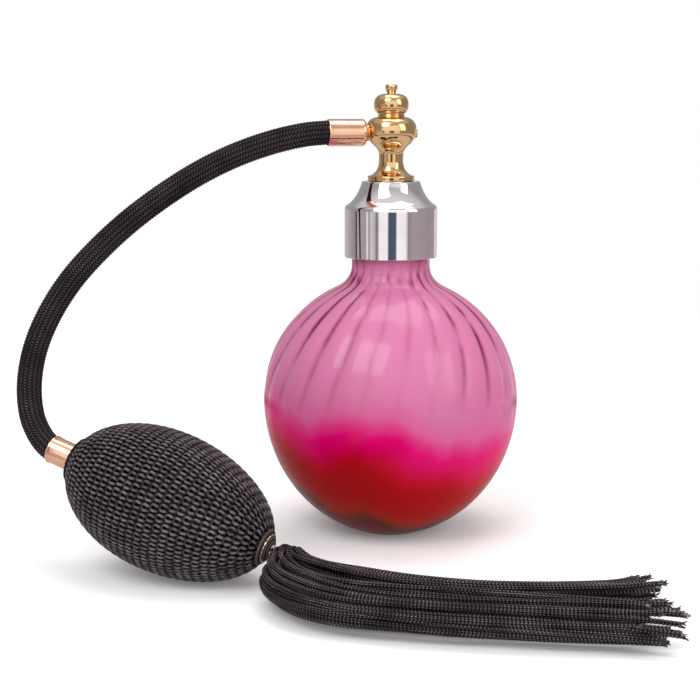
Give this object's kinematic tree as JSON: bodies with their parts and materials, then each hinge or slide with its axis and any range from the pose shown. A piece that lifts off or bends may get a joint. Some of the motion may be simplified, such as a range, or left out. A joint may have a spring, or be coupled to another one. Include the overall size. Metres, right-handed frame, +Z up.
{
  "type": "squeeze bulb perfume bottle",
  "caption": "Round fluted glass perfume bottle with a chrome screw collar, a gold spray head, a braided air hose, a netted squeeze bulb and a tassel.",
  "frame": {"origin": "centre of the bottle's base, on the surface it stands on", "axes": "+Z up along the bottle's axis; the hose leaves the head towards -X and the bulb and tassel lie in front, towards -Y"},
  "size_m": [0.174, 0.1529, 0.1328],
  "materials": {
    "glass": "tinted pink blown glass, swirl fluted, polished",
    "seal_rubber": "smooth soft white seal",
    "clear_plastic": "moulded, smooth",
    "chrome": "mirror polished",
    "gold": "gold plated, mirror polished",
    "rose_gold": "rose gold plated, mirror polished",
    "brass": "turned",
    "steel": "polished ball",
    "hose_rubber": "extruded",
    "bulb_rubber": "moulded, matt",
    "black_braid": "braided yarn with a soft sheen",
    "black_knit": "knitted yarn with a soft sheen",
    "black_cord": "plaited cord with a soft sheen"
  },
  "bodies": {
    "bottle_body": {"bottle": "glass"},
    "gasket": {"neck_gasket": "seal_rubber"},
    "stem": {"tube_plug": "clear_plastic", "swivel_seal": "seal_rubber", "dip_tube": "clear_plastic"},
    "collar": {"collar_insert": "clear_plastic", "collar_shell": "chrome"},
    "head": {"head_body": "gold", "head_nut": "brass", "finial": "gold", "nozzle_insert": "gold", "air_jet": "brass", "spigot": "gold", "head_ferrule": "rose_gold", "hose_liner": "hose_rubber", "hose_sleeve": "black_braid", "bulb_ferrule": "rose_gold", "outlet_valve": "brass", "bulb_rubber": "bulb_rubber", "bulb_net": "black_knit", "intake_valve": "brass", "tassel_loop": "black_cord"},
    "outlet_check": {"outlet_ball": "steel"},
    "intake_check": {"intake_ball": "steel"},
    "tassel": {"tassel_wrap": "black_cord", "tassel_skirt": "black_cord"}
  },
  "joints": [
    {"name": "lift_out", "type": "slide", "parent": "bottle_body", "child": "gasket", "axis": [0, 0, 1], "range_m": [0, 0.1]},
    {"name": "thread_lift", "type": "slide", "parent": "gasket", "child": "stem", "axis": [0, 0, 1], "range_m": [0, 0.0046]},
    {"name": "collar_turn", "type": "hinge", "parent": "stem", "child": "collar", "pos_m": [0, 0, 0.09], "axis": [0, 0, 1], "range_deg": [0, 540]},
    {"name": "head_swivel", "type": "hinge", "parent": "stem", "child": "head", "pos_m": [0, 0, 0.1], "axis": [0, 0, 1], "continuous": true},
    {"name": "bulb_squeeze", "type": "slide", "parent": "head", "child": "outlet_check", "axis": [-0.8818, 0.3563, 0.309], "range_m": [0, 0.0012]},
    {"name": "intake_open", "type": "slide", "parent": "head", "child": "intake_check", "axis": [-0.8818, 0.3563, 0.309], "range_m": [0, 0.0012]},
    {"name": "tassel_swing", "type": "hinge", "parent": "head", "child": "tassel", "pos_m": [-0.0319, -0.06176, 0.01], "axis": [0, 0, 1], "range_deg": [-20, 20]}
  ],
  "couplings": [
    {"joint": "thread_lift", "follows": "collar_turn", "m_per_rad": 0.0004775}
  ]
}
